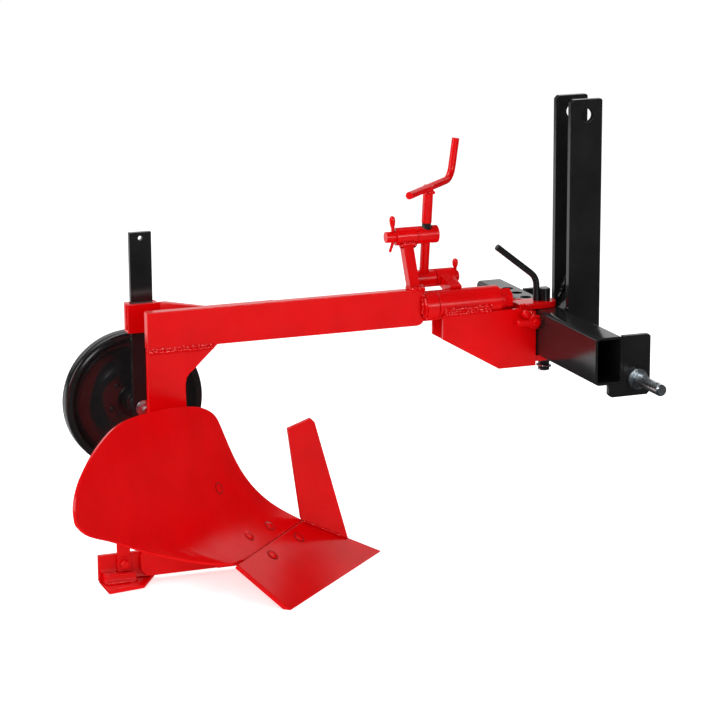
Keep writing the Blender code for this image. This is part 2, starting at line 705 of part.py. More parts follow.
def shin_point(t):
    """The board's curve in the landside plane: u and h, from the share's top edge up."""
    start = Vector((SHARE_TOP_HEIGHT / share_rise(), SHARE_TOP_HEIGHT))
    end = Vector((BOARD_BEND, BOARD_RISE))
    low_angle = atan2(share_rise(), 1)
    p1 = start + SHIN_LOW_PULL * Vector((cos(low_angle), sin(low_angle)))
    p2 = end - SHIN_HIGH_PULL * Vector((cos(SHIN_HIGH_ANGLE), sin(SHIN_HIGH_ANGLE)))
    s = 1 - t
    return s ** 3 * start + 3 * s * s * t * p1 + 3 * s * t * t * p2 + t ** 3 * end


def share_rise():
    """Height gained for each unit back along the landside, on the share's plane."""
    return tan(SHARE_SLOPE) * sin(CUT_ANGLE)


def shin_at_height(h):
    """How far behind the tip the surface meets the landside plane at a height, and the slope du/dh there."""
    low = SHARE_TOP_HEIGHT
    if h <= low:
        return h / share_rise(), 1 / share_rise()
    top = shin_point(1)
    if h >= top.y:
        slope = 1 / tan(SHIN_HIGH_ANGLE)
        return top.x + (h - top.y) * slope, slope
    t0, t1 = 0.0, 1.0
    for _ in range(40):
        middle = (t0 + t1) / 2
        if shin_point(middle).y < h:
            t0 = middle
        else:
            t1 = middle
    step = 0.001
    a, b = shin_point(max(t0 - step, 0)), shin_point(min(t0 + step, 1))
    return shin_point(t0).x, (b.x - a.x) / (b.y - a.y)


def soil_point(w, h, back=0.0):
    """A point of the soil-engaging surface, or at a distance behind it, w to the right and h up."""
    u, slope = shin_at_height(h)
    u += w / tan(CUT_ANGLE)
    face = Vector((TIP_X - u, LANDSIDE_LINE_Y - w, h))
    along = Vector((-1 / tan(CUT_ANGLE), -1, 0))
    up = Vector((-slope, 0, 1))
    normal = up.cross(along).normalized()
    if normal.x < 0:
        normal = -normal
    return face - normal * back


def read_edge(points, w):
    """The height of a smooth line through (w, h) points."""
    last = len(points) - 1
    for i in range(last):
        (w0, h0), (w1, h1) = points[i], points[i + 1]
        if w <= w1 or i == last - 1:
            break
    def slope(k):
        if k == 0:
            return (points[1][1] - points[0][1]) / (points[1][0] - points[0][0])
        if k == last:
            return (points[last][1] - points[last - 1][1]) / (points[last][0] - points[last - 1][0])
        before = (points[k][1] - points[k - 1][1]) / (points[k][0] - points[k - 1][0])
        after = (points[k + 1][1] - points[k][1]) / (points[k + 1][0] - points[k][0])
        if before * after <= 0:
            return 0.0
        return 2 * before * after / (before + after)
    run = w1 - w0
    t = (w - w0) / run
    a = (2 * t ** 3 - 3 * t * t + 1) * h0 + (t ** 3 - 2 * t * t + t) * run * slope(i)
    return a + (3 * t * t - 2 * t ** 3) * h1 + (t ** 3 - t * t) * run * slope(i + 1)


def sheet_solid(name, columns, rows, point, front_back, parent, material):
    """A closed solid between two surfaces; point(i, j, side) gives the corners of its grid."""
    data = bmesh.new()
    grids = []
    for side in front_back:
        grids.append([[data.verts.new(point(i, j,
                                            side)) for j in range(rows + 1)] for i in range(columns + 1)])
    for grid in grids:
        for i in range(columns):
            for j in range(rows):
                data.faces.new((grid[i][j], grid[i + 1][j], grid[i + 1][j + 1], grid[i][j + 1]))
    rim = [(i, 0) for i in range(columns)] + [(columns, j) for j in range(rows)]
    rim += [(i, rows) for i in range(columns, 0, -1)] + [(0, j) for j in range(rows, 0, -1)]
    for k, (i, j) in enumerate(rim):
        m, n = rim[(k + 1) % len(rim)]
        data.faces.new((grids[0][i][j], grids[0][m][n], grids[1][m][n], grids[1][i][j]))
    return from_bmesh(name, data, parent, material)


def board_width():
    return BOARD_TOP[-1][0]


def make_moldboard(body, paint):
    def point(i, j, back):
        share = i / BOARD_COLUMNS
        w = board_width() * (sin(share * pi / 2) * 0.72 + share * 0.28)
        low, high = read_edge(BOARD_BOTTOM, w), read_edge(BOARD_TOP, w)
        return soil_point(w, low + (high - low) * j / BOARD_ROWS, back)

    return sheet_solid("moldboard", BOARD_COLUMNS, BOARD_ROWS, point, (0.0, BOARD_THICK), body, paint)


def make_share(body, paint):
    """The flat blade: tip, wing, and the top edge that the board butts against, bevelled to the ground."""
    top_h = SHARE_TOP_HEIGHT - SEAT
    end_h = (SHARE_END_BACK - SHARE_END_OUT / tan(CUT_ANGLE)) * share_rise() - SEAT
    corners = ((0.0, -0.006), (CUT_WIDTH, -0.006), (SHARE_END_OUT, end_h), (0.0, top_h))
    data = bmesh.new()
    front = [data.verts.new(soil_point(w, h, -SHARE_PROUD)) for w, h in corners]
    rear = [data.verts.new(soil_point(w, h, SHARE_THICK)) for w, h in corners]
    data.faces.new(front)
    data.faces.new(rear)
    for i in range(4):
        j = (i + 1) % 4
        data.faces.new((front[i], front[j], rear[j], rear[i]))
    blade = from_bmesh("share", data, body, paint)
    wide = TIP_X + 0.2
    trim = block("share_trim", (TIP_X - 0.9, -0.9, GROUND - 0.2), (wide, 0.5, GROUND), None, paint)
    return cut(blade, trim)


def make_soil_cutter(name, gap, paint):
    """All the room in front of the share's and the board's backs, with a gap, for pieces that fit behind."""
    thick = SHARE_THICK + gap
    heights = (-0.08, 0.0, 0.04, SHARE_TOP_HEIGHT, 0.10, 0.12, 0.14, 0.16, 0.19, 0.22, 0.26, 0.30, 0.34)

    def point(i, j, side):
        face = soil_point(-0.06 + 0.56 * i, heights[j], thick)
        return face if side == 0 else face + Vector((0.45, 0, 0))

    return sheet_solid(name, 1, len(heights) - 1, point, (0, 1), None, paint)


def make_standard(body, paint):
    """The upright plate under the beam, down to the frog and the landside."""
    top = BEAM_BOTTOM - SEAT
    rear = BEAM_REAR
    low = GROUND + 0.012
    waist = rear + STANDARD_WAIST
    foot_front = TIP_X - 0.14
    outline = [(rear, top), (rear + STANDARD_TOP_LENGTH, top), (rear + STANDARD_SHOULDER, top - 0.043)]
    outline += [(waist + 0.008, top - 0.051), (waist + 0.0025, top - 0.059), (waist + 0.0002, top - 0.070)]
    outline += [(waist, top - 0.085), (waist + 0.001, top - 0.105), (waist + 0.0025, top - 0.125)]
    outline += [(foot_front, GROUND + 0.12), (foot_front, low), (rear - 0.012, low)]
    outline += [(rear - 0.022, low + 0.012), (rear - 0.022, low + 0.040), (rear, low + 0.075)]
    plate = prism("standard", outline, "y", -STANDARD_THICK / 2, STANDARD_THICK / 2, body, paint)
    return cut(plate, make_soil_cutter("standard_clearance", SEAT, paint))


def make_frog(body, paint):
    """The gusset behind the board that carries it out to the right of the standard."""
    rear = BEAM_REAR + 0.160
    side = -STANDARD_THICK / 2 - SEAT
    outline = ((rear, side), (rear + 0.22, side), (rear - 0.02, -0.150), (rear - 0.08, -0.150))
    plate = prism("frog", outline, "z", GROUND + 0.060, GROUND + 0.068, body, paint)
    upright = prism("frog_rib", ((rear - 0.02, side), (rear - 0.012, side), (rear - 0.062, -0.150),
                                 (rear - 0.070, -0.150)),
                    "z", GROUND + 0.062, GROUND + 0.19, None, paint)
    join(plate, upright)
    return cut(plate, make_soil_cutter("frog_clearance", SEAT, paint))


def make_shin_knife(body, paint):
    """The upright blade at the shin, welded to the share's top edge."""
    outline = [(TIP_X - u, h) for u, h in KNIFE_CORNERS]
    blade = prism("shin_knife", outline, "y", KNIFE_LEFT_Y - KNIFE_THICK, KNIFE_LEFT_Y, body, paint)

    heights = (-0.05, 0.0, 0.04, SHARE_TOP_HEIGHT, 0.10, 0.12, 0.14, 0.16, 0.20)

    def behind(i, j, side):
        face = soil_point(-0.02 + 0.06 * i, heights[j], -SHARE_PROUD - 2 * SEAT)
        return face + Vector((-0.30, 0, 0)) if side == 0 else face

    return cut(blade, sheet_solid("shin_knife_clearance", 1, len(heights) - 1, behind, (0, 1), None, paint))


def make_landside(body, paint):
    """The long bar against the furrow wall, to the left of the standard."""
    y0 = STANDARD_THICK / 2 + SEAT
    rear = BEAM_REAR - LANDSIDE_REAR_BEHIND_BEAM
    front = TIP_X - LANDSIDE_FRONT_U
    bottom = GROUND + HEEL_THICK + SEAT
    outline = ((rear, bottom), (front, bottom), (front, bottom + 0.02), (front - 0.04, LANDSIDE_HEIGHT),
               (rear, LANDSIDE_HEIGHT))
    bar = prism("landside", outline, "y", y0, y0 + LANDSIDE_THICK, body, paint)
    return cut(bar, make_soil_cutter("landside_clearance", SEAT, paint))


def make_heel_plate(body, paint):
    """The flat foot under the landside's rear end."""
    rear = BEAM_REAR - LANDSIDE_REAR_BEHIND_BEAM + 0.004
    outline = ((rear, 0.024), (rear - 0.001, -0.050), (rear + 0.070, -0.038), (rear + 0.108, 0.024))
    return prism("heel_plate", outline, "z", GROUND, GROUND + HEEL_THICK, body, paint)


def make_heel_block(body, paint):
    """The block that stands on the foot beside the landside."""
    rear = BEAM_REAR - LANDSIDE_REAR_BEHIND_BEAM + 0.006
    y1 = STANDARD_THICK / 2
    return block("heel_block", (rear, y1 - 0.020, GROUND + HEEL_THICK + SEAT), (rear + 0.060, y1,
                                                                                GROUND + 0.024), body,
                 paint)


def make_brace_strap(body, paint):
    """The strap from the landside's rear up to the back of the board's wing."""
    x = BEAM_REAR - 0.053
    y1 = STANDARD_THICK / 2
    y0 = y1 - STRAP_THICK
    low = GROUND + 0.0245
    bend = GROUND + 0.120
    outline = ((y1, low), (y1, bend + 0.0025), (-0.30, bend + 0.140), (-0.30, bend + 0.133),
               (y0, bend - 0.0025), (y0, low))
    strap = prism("brace_strap", outline, "x", x - STRAP_WIDTH / 2, x + STRAP_WIDTH / 2, body, paint)
    return cut(strap, make_soil_cutter("brace_strap_clearance", BOARD_THICK - SHARE_THICK + 2 * SEAT,
                                       paint))


# ---------------------------------------------------------------- gauge wheel

def make_wheel_bracket(body, paint):
    """The bar bolted to the beam's left side that bends out to the post and stands in front of it."""
    beam_face = BEAM_THICK / 2 + SEAT
    y_out = POST_Y - POST_RUNNING_GAP
    x0 = POST_X - POST_WIDTH / 2 - 0.009
    x1 = x0 + BRACKET_STRAIGHT
    x2 = x1 + BRACKET_RUN
    x3 = x2 + BRACKET_FLANGE
    t = BRACKET_THICK
    k = t * 0.40
    outline = ((x0, y_out - t), (x1 + k - t, y_out - t), (x2 - k, beam_face), (x3, beam_face),
               (x3, beam_face + t), (x2 + k, beam_face + t), (x1 + t, y_out), (x0, y_out))
    top = BEAM_TOP - BRACKET_BELOW_BEAM_TOP
    return prism("wheel_bracket", outline, "z", top - BRACKET_HEIGHT, top, body, paint)


def make_post_clamp(body, paint):
    """The channel that closes the bracket round the post."""
    y0 = POST_Y - POST_RUNNING_GAP + SEAT
    y1 = POST_Y + POST_THICK + POST_RUNNING_GAP
    wall = 0.008
    x0 = POST_X - POST_WIDTH / 2 - POST_RUNNING_GAP
    x1 = POST_X + POST_WIDTH / 2 + POST_RUNNING_GAP
    outline = ((x0 - wall, y0), (x0, y0), (x0, y1), (x1, y1), (x1, y0), (x1 + wall, y0), (x1 + wall,
                                                                                          y1 + wall),
               (x0 - wall, y1 + wall))
    top = BEAM_TOP - BRACKET_BELOW_BEAM_TOP
    channel = prism("post_clamp", outline, "z", top - BRACKET_HEIGHT, top, body, paint)
    z = top - BRACKET_HEIGHT / 2
    join(channel, rod("post_clamp_boss", (POST_X, y1 + wall / 2, z), (POST_X, y1 + wall + 0.010, z), 0.024,
                      None, paint, 6))
    return channel


def make_wheel_post(body, black):
    top = BEAM_TOP + POST_TOP_ABOVE_BEAM
    low = AXLE_HEIGHT - 0.024
    half = POST_WIDTH / 2
    outline = [(POST_X - half, top), (POST_X - half, low + 0.012), (POST_X - half + 0.012, low),
               (POST_X + half - 0.012, low), (POST_X + half, low + 0.012), (POST_X + half, top)]
    post = prism("wheel_post", outline, "y", POST_Y, POST_Y + POST_THICK, body, black)
    z = top - POST_HOLE_BELOW_TOP
    cut(post, rod("wheel_post_hole", (POST_X, POST_Y - 0.01, z), (POST_X, POST_Y + 0.03, z), POST_HOLE,
                  None, black, 12))
    return cut(post, rod("wheel_post_axle_hole", (POST_X, POST_Y - 0.01, AXLE_HEIGHT),
                         (POST_X, POST_Y + 0.03, AXLE_HEIGHT), AXLE + 2 * SEAT, None, black))


def hub_near_y():
    return WHEEL_NEAR_Y + WHEEL_WIDTH / 2 - HUB_LENGTH / 2


def make_axle_bolt(body, zinc):
    near = POST_Y - SEAT
    far = hub_near_y() + HUB_LENGTH + 0.013
    axle = rod("wheel_axle", (POST_X, near - 0.012, AXLE_HEIGHT), (POST_X, far, AXLE_HEIGHT), AXLE, body,
               zinc)
    join(axle, rod("wheel_axle_nut", (POST_X, near - 0.010, AXLE_HEIGHT), (POST_X, near, AXLE_HEIGHT),
                   0.027, None, zinc, 6))
    shoulder = POST_Y + POST_THICK + SEAT
    join(axle, rod("wheel_axle_spacer", (POST_X, shoulder, AXLE_HEIGHT), (POST_X, hub_near_y() - 0.0008,
                                                                          AXLE_HEIGHT),
                   0.026, None, zinc))
    join(axle, rod("wheel_axle_head", (POST_X, far - 0.012, AXLE_HEIGHT), (POST_X, far, AXLE_HEIGHT), 0.030,
                   None, zinc, 6))
    return axle


def make_gauge_wheel(body, black):
    """A dished steel wheel with a closed rim and a hub, in one spun profile."""
    y0 = WHEEL_NEAR_Y
    y1 = WHEEL_NEAR_Y + WHEEL_WIDTH
    r = WHEEL / 2
    t = WHEEL_SHELL
    mid = (y0 + y1) / 2
    hub0, hub1 = hub_near_y(), hub_near_y() + HUB_LENGTH
    profile = (
        (hub0, AXLE_BORE / 2), (hub0, HUB / 2), (mid - 0.012, HUB / 2), (mid - 0.012, 0.060), (mid + 0.002,
                                                                                               0.078),
        (mid + 0.002, r - 0.020), (y0 + 0.003, r - 0.014), (y0, r - 0.010), (y0 + 0.002,
                                                                             r - 0.003), (y0 + 0.008, r),
        (y1 - 0.008, r), (y1 - 0.002, r - 0.003), (y1, r - 0.010), (y1 - 0.003,
                                                                    r - 0.014), (mid + 0.002 + t,
                                                                                 r - 0.020),
        (mid + 0.002 + t, 0.078), (mid - 0.012 + t, 0.058), (mid - 0.012 + t, HUB / 2), (hub1, HUB / 2),
        (hub1, AXLE_BORE / 2),
    )
    return turned("gauge_wheel", profile, (POST_X, 0, AXLE_HEIGHT), body, black, 40)


def centre_on_origin():
    """Moves everything so that the origin is at the bottom centre of the plough's box."""
    bpy.context.view_layer.update()
    graph = bpy.context.evaluated_depsgraph_get()
    corners = []
    for item in bpy.data.objects:
        if item.type == "MESH" and not item.hide_render:
            solid = item.evaluated_get(graph)
            corners += [solid.matrix_world @ vertex.co for vertex in solid.data.vertices]
    low = [min(corner[k] for corner in corners) for k in range(3)]
    high = [max(corner[k] for corner in corners) for k in range(3)]
    shift = Vector((round(-(low[0] + high[0]) / 2, 4), round(-(low[1] + high[1]) / 2, 4), 0))
    for item in bpy.data.objects:
        if item.parent is None:
            item.location += shift


def main():
    clear_scene()
    red = make_material("red_paint", (0.72, 0.0, 0.005), 0.28, 0.0)
    black = make_material("black_paint", (0.012, 0.012, 0.014), 0.25, 0.0)
    zinc = make_material("zinc_plate", (0.55, 0.57, 0.60), 0.35, 1.0)
    steel = make_material("bare_steel", (0.35, 0.35, 0.36), 0.40, 1.0)

    plough = group("plough_body", (0, 0, 0))
    hitch = group("hitch_body", (SLEEVE_FRONT, 0, AXIS_HEIGHT))
    upper = group("upper_trunnion_body", (SCREW_X, UPPER_PIVOT.y, UPPER_PIVOT.z))
    lower = group("lower_trunnion_body", (SCREW_X, LOWER_PIVOT.y, LOWER_PIVOT.z))
    crank = group("crank_body", screw_point(0))
    post = group("post_body", (POST_X, POST_Y + POST_THICK / 2, BEAM_TOP))
    wheel = group("wheel_body", (POST_X, WHEEL_NEAR_Y + WHEEL_WIDTH / 2, AXLE_HEIGHT))

    make_crossbar(hitch, black)
    make_mast_plate("mast_plate_left", 1, hitch, black)
    make_mast_plate("mast_plate_right", -1, hitch, black)
    make_mast_web(hitch, black)
    make_hitch_plate("hitch_plate_right", TUBE_RIGHT_Y, hitch, black)
    left_plate_y = TUBE_LEFT_Y - LEFT_HITCH_PLATE_INSET - HITCH_PLATE_THICK
    make_hitch_plate("hitch_plate_left", left_plate_y, hitch, black)
    make_link_pin("lower_link_pin_right", TUBE_RIGHT_Y, -1, hitch, zinc)
    make_link_pin("lower_link_pin_left", left_plate_y + HITCH_PLATE_THICK, 1, hitch, zinc)
    make_saddle_plate("saddle_plate_left", 1, hitch, red)
    make_saddle_plate("saddle_plate_right", -1, hitch, red)
    make_saddle_tie(hitch, red)
    make_ear("saddle_ear_top", TUBE_TOP + SEAT, hitch, red)
    make_ear("saddle_ear_bottom", TUBE_BOTTOM - SEAT - EAR_THICK, hitch, red)
    make_swivel_pin(hitch, black)
    make_pin_handle(hitch, black)
    make_pin_clip(hitch, zinc)
    make_set_screw(hitch, red)
    make_roll_sleeve(hitch, red)
    make_lower_arm(hitch, red)

    make_upper_trunnion(upper, red)
    make_lower_trunnion(lower, red)
    make_crank_screw(crank, steel)
    make_crank_handle(crank, red)
    upper_x = trunnion_rear_x() - TRUNNION_GAP - UPPER_BOSS_LENGTH - LYNCH_PIN_FROM_BOSS
    make_lynch_pin("lynch_pin_upper", upper_x, UPPER_PIVOT, upper, red)
    lower_x = trunnion_front_x() + TRUNNION_GAP + LOWER_BOSS_LENGTH + LYNCH_PIN_FROM_BOSS
    make_lynch_pin("lynch_pin_lower", lower_x, LOWER_PIVOT, lower, red)

    make_beam(plough, red)
    make_roll_shaft(plough, steel)
    make_beam_collar(plough, red)
    make_shaft_nut(plough, red)
    make_upper_arm(plough, red)
    make_standard(plough, red)
    make_frog(plough, red)
    make_moldboard(plough, red)
    make_share(plough, red)
    make_shin_knife(plough, red)
    make_landside(plough, red)
    make_heel_plate(plough, red)
    make_heel_block(plough, red)
    make_brace_strap(plough, red)
    make_wheel_bracket(plough, red)
    make_post_clamp(plough, red)

    make_wheel_post(post, black)
    make_axle_bolt(post, zinc)
    make_gauge_wheel(wheel, black)
    centre_on_origin()


main()
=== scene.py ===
"""Looks for the moldboard plough: painted steel, welds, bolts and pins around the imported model."""

import json
from math import cos, pi, radians, sin

import bmesh
import bpy
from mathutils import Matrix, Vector
from mathutils.bvhtree import BVHTree


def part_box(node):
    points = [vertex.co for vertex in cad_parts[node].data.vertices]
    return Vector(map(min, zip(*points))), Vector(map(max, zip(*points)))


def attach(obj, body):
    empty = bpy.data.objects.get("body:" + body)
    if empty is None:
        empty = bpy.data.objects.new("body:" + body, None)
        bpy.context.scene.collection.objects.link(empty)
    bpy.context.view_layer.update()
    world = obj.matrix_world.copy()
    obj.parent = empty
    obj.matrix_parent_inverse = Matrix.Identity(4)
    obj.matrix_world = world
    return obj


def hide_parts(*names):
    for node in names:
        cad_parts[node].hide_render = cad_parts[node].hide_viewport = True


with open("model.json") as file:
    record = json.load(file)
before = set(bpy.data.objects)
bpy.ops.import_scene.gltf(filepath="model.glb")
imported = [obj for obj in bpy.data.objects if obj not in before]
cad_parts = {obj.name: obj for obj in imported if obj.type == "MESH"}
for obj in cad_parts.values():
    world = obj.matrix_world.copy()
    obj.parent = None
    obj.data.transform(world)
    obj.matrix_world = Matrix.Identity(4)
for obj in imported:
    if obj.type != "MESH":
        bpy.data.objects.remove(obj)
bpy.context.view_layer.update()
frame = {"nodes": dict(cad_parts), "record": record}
nodes = frame["nodes"]
record = frame["record"]
body_of = {name: body for body, names in record["behaviour"]["bodies"].items() for name in names}
slot_of = {part["node"]: part["material_slot"] for part in record["subparts"]}


def node_box(name):
    low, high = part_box(name)
    return Vector(low), Vector(high)


BAR_LOW, BAR_HIGH = node_box("crossbar")
BEAM_LOW, BEAM_HIGH = node_box("beam")
ORIGIN = Vector(((BAR_LOW.x + BAR_HIGH.x) / 2, (BEAM_LOW.y + BEAM_HIGH.y) / 2, 0))


def at(x, y, z):
    """A point in millimetres from the crossbar's middle, the beam's middle plane and the ground."""
    return ORIGIN + Vector((x, y, z)) / 1000


# ---------------------------------------------------------------- materials

class Shader:
    """A node material that is built up one socket at a time."""

    def __init__(self, name, colour, roughness, metallic=0.0):
        self.material = bpy.data.materials.new(name)
        self.material.use_nodes = True
        self.nodes = self.material.node_tree.nodes
        self.links = self.material.node_tree.links
        self.main = self.nodes["Principled BSDF"]
        self.main.inputs["Base Color"].default_value = (*colour, 1)
        self.main.inputs["Roughness"].default_value = roughness
        self.main.inputs["Metallic"].default_value = metallic
        self.place = self.nodes.new("ShaderNodeTexCoord").outputs["Object"]

    def set(self, socket, value):
        self.main.inputs[socket].default_value = value
        return self

    def noise(self, scale, detail=2.0, roughness=0.5, distortion=0.0):
        node = self.nodes.new("ShaderNodeTexNoise")
        node.inputs["Scale"].default_value = scale
        node.inputs["Detail"].default_value = detail
        node.inputs["Roughness"].default_value = roughness
        node.inputs["Distortion"].default_value = distortion
        self.links.new(self.place, node.inputs["Vector"])
        return node.outputs["Fac"]

    def ramp(self, factor, stops):
        node = self.nodes.new("ShaderNodeValToRGB")
        while len(node.color_ramp.elements) < len(stops):
            node.color_ramp.elements.new(0.5)
        for element, (position, colour) in zip(node.color_ramp.elements, stops):
            element.position = position
            element.color = (*colour, 1)
        self.links.new(factor, node.inputs["Fac"])
        return node.outputs["Color"]

    def spread(self, factor, low, high):
        node = self.nodes.new("ShaderNodeMapRange")
        node.inputs["To Min"].default_value = low
        node.inputs["To Max"].default_value = high
        self.links.new(factor, node.inputs["Value"])
        return node.outputs["Result"]

    def colour(self, output):
        self.links.new(output, self.main.inputs["Base Color"])
        return self

    def rough(self, output):
        self.links.new(output, self.main.inputs["Roughness"])
        return self

    def bump(self, layers):
        """Bumps from (height output, strength, distance) layers, the first one lowest."""
        last = None
        for height, strength, distance in layers:
            node = self.nodes.new("ShaderNodeBump")
            node.inputs["Strength"].default_value = strength
            node.inputs["Distance"].default_value = distance
            self.links.new(height, node.inputs["Height"])
            if last is not None:
                self.links.new(last, node.inputs["Normal"])
            last = node.outputs["Normal"]
        self.links.new(last, self.main.inputs["Normal"])
        return self


def make_red(name, peel, roughness=(0.13, 0.24), fine=330, shine=0.40):
    """Red powder coat; peel scales its orange-peel bumps and fine is the scale of the small ones."""
    s = Shader(name, (0.70, 0.001, 0.001), 0.24)
    s.set("Specular IOR Level", shine)
    reds = [(0.30, (0.60, 0.0, 0.001)), (0.55, (0.69, 0.0, 0.001)), (0.75, (0.74, 0.001, 0.002))]
    s.colour(s.ramp(s.noise(7, 4, 0.6), reds))
    s.rough(s.spread(s.noise(22, 5, 0.65), *roughness))
    s.bump([(s.noise(30, 2), 0.22 * peel, 0.0010), (s.noise(fine, 1), 0.07 * peel, 0.0002 * peel)])
    return s.material


def make_black(name, peel, roughness=(0.10, 0.24)):
    """Black powder coat, with peel as for the red."""
    s = Shader(name, (0.010, 0.010, 0.011), 0.16)
    s.set("Specular IOR Level", 0.5)
    s.colour(s.ramp(s.noise(9, 4, 0.6), [(0.35, (0.0075, 0.0075, 0.008)), (0.7, (0.013, 0.013, 0.014))]))
    s.rough(s.spread(s.noise(26, 5, 0.65), *roughness))
    s.bump([(s.noise(26, 2), 0.20 * peel, 0.0010), (s.noise(300, 1), 0.08 * peel, 0.0002)])
    return s.material


def make_zinc():
    s = Shader("zinc", (0.58, 0.62, 0.66), 0.24, 1.0)
    tints = [(0.30, (0.52, 0.60, 0.66)), (0.52, (0.74, 0.80, 0.83)), (0.72, (0.82, 0.82, 0.78))]
    s.colour(s.ramp(s.noise(55, 4, 0.6), tints))
    s.rough(s.spread(s.noise(160, 4, 0.6), 0.20, 0.38))
    s.bump([(s.noise(900, 2), 0.10, 0.0002)])
    return s.material


def make_thread_steel():
    """Oiled bare steel, dark in places."""
    s = Shader("thread_steel", (0.14, 0.13, 0.13), 0.36, 1.0)
    greys = [(0.30, (0.12, 0.11, 0.11)), (0.6, (0.22, 0.21, 0.20)), (0.8, (0.36, 0.35, 0.34))]
    s.colour(s.ramp(s.noise(140, 4, 0.6), greys))
    s.rough(s.spread(s.noise(300, 3), 0.34, 0.55))
    s.bump([(s.noise(1200, 2), 0.15, 0.0002)])
    return s.material


RED = make_red("red_powder_coat", 1.0)
# Dark red painted shade for the grooves round the plough bolts' heads.
RED_SHADE = Shader("red_painted_shade_in_bolt_grooves", (0.16, 0.0, 0.001), 0.45).material
RED_WELD = make_red("red_over_weld", 3.0, (0.08, 0.16), 240, 0.9)
BLACK = make_black("black_powder_coat", 1.0)
BLACK_WELD = make_black("black_over_weld", 3.0, (0.06, 0.14))
WHEEL_BLACK = make_black("black_wheel_paint", 0.9, (0.12, 0.28))
ZINC = make_zinc()
THREAD = make_thread_steel()
FINISH = {"red_paint": RED, "black_paint": BLACK, "zinc_plate": ZINC, "bare_steel": THREAD}


# ---------------------------------------------------------------- building helpers

MERGE = 0.00002  # points nearer than this are one
WELD_STEP = 0.42  # between ripples, as a share of the bead's radius
WELD_END = 0.45  # how far a bead tapers at its ends
WELD_DRIFT = 0.45
WELD_SIDES = 8
WELD_SMOOTH = 80


def add_object(name, mesh, material, body):
    item = bpy.data.objects.new(name, mesh)
    bpy.context.scene.collection.objects.link(item)
    mesh.materials.clear()
    mesh.materials.append(material)
    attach(item, body)
    return item


def from_bmesh(name, data, material, body, angle=35):
    bmesh.ops.recalc_face_normals(data, faces=data.faces)
    mesh = bpy.data.meshes.new(name)
    data.to_mesh(mesh)
    data.free()
    mesh.shade_smooth()
    mesh.set_sharp_from_angle(angle=radians(angle))
    return add_object(name, mesh, material, body)


def soften(item, width, segments=2, angle=32):
    bevel = item.modifiers.new("edges", "BEVEL")
    bevel.width = width
    bevel.segments = segments
    bevel.limit_method = "ANGLE"
    bevel.angle_limit = radians(angle)
    bevel.harden_normals = True
    return item


def clean_copy(node):
    """The node's mesh with the edges between faces of one plane taken out."""
    data = bmesh.new()
    data.from_mesh(nodes[node].data)
    bmesh.ops.remove_doubles(data, verts=data.verts, dist=MERGE)
    inner = [edge for edge in data.edges if len(edge.link_faces) == 2]
    flat = [edge for edge in inner if edge.calc_face_angle() < radians(0.3)]
    bmesh.ops.dissolve_edges(data, edges=flat, use_verts=False)
    return data


def refined(node, width):
    """The node's own shape, with the small rounding of painted steel on its edges."""
    slot = slot_of[node]
    piece = from_bmesh(f"{node}_finished", clean_copy(node), FINISH[slot], body_of[node])
    soften(piece, width)
    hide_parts(node)
    return piece


def ring_loft(rings):
    """A closed body through rings of points, capped at both ends."""
    data = bmesh.new()
    made = [[data.verts.new(point) for point in ring] for ring in rings]
    count = len(made[0])
    for here, there in zip(made, made[1:]):
        for k in range(count):
            j = (k + 1) % count
            data.faces.new((here[k], here[j], there[j], there[k]))
    data.faces.new(made[0])
    data.faces.new(made[-1])
    return data


def spun(profile, start, direction, sides):
    """A closed round body about an axis, from (distance along, radius) pairs."""
    direction = Vector(direction).normalized()
    across = direction.orthogonal().normalized()
    aside = direction.cross(across)
    rings = []
    for along, radius in profile:
        centre = Vector(start) + direction * along
        rings.append([centre + (across * cos(2 * pi * k / sides) + aside * sin(2 * pi * k / sides)) * radius
                      for k in range(sides)])
    return ring_loft(rings)


def closed_loft(rings):
    """A body whose rings close on themselves, such as a wheel or a ring."""
    data = bmesh.new()
    made = [[data.verts.new(point) for point in ring] for ring in rings]
    count = len(made[0])
    for here, there in zip(made, made[1:] + made[:1]):
        for k in range(count):
            j = (k + 1) % count
            data.faces.new((here[k], here[j], there[j], there[k]))
    return data


def weld_noise(seed):
    """A number between 0 and 1 that jumps about with its seed."""
    return (sin(seed * 12.9898) * 43758.5453) % 1.0


def weld_track(data, points, radius, seed):
    """One run of overlapping ripples along a line of points."""
    step = radius * WELD_STEP
    track = [points[0]]
    for a, b in zip(points, points[1:]):
        count = max(int((b - a).length / step), 1)
        track += [a.lerp(b, (k + 1) / count) for k in range(count)]
    rings = []
    for i, point in enumerate(track):
        ahead = (track[min(i + 1, len(track) - 1)] - track[max(i - 1, 0)]).normalized()
        across = ahead.orthogonal().normalized()
        aside = ahead.cross(across)
        ripple = 0.80 + 0.24 * (i % 3) / 2 + 0.40 * (weld_noise(i + seed) - 0.5)
        if i in (0, len(track) - 1):
            ripple *= WELD_END
        drift = across * (weld_noise(i * 3 + seed) - 0.5) + aside * (weld_noise(i * 5 + seed) - 0.5)
        centre = point + drift * radius * WELD_DRIFT
        ring = []
        for k in range(WELD_SIDES):
            angle = 2 * pi * k / WELD_SIDES
            ring.append(data.verts.new(centre + (across * cos(angle) + aside * sin(angle)) * radius * ripple))
        rings.append(ring)
    for here, there in zip(rings, rings[1:]):
        for k in range(WELD_SIDES):
            j = (k + 1) % WELD_SIDES
            data.faces.new((here[k], here[j], there[j], there[k]))
    data.faces.new(rings[0])
    data.faces.new(rings[-1])


def weld(name, radius, points, body="plough", paint=None, rows=1, spread=(0, 0, 0)):
    """A bead along a line of points, or several runs side by side; radius and spread in millimetres."""
    radius /= 1000
    data = bmesh.new()
    for row in range(rows):
        shift = Vector(spread) / 1000 * (row / max(rows - 1, 1) - 0.5)
        weld_track(data, [Vector(point) + shift for point in points], radius, 7 * radius * 1000 + 31 * row)
    return from_bmesh(name, data, paint or RED_WELD, body, WELD_SMOOTH)


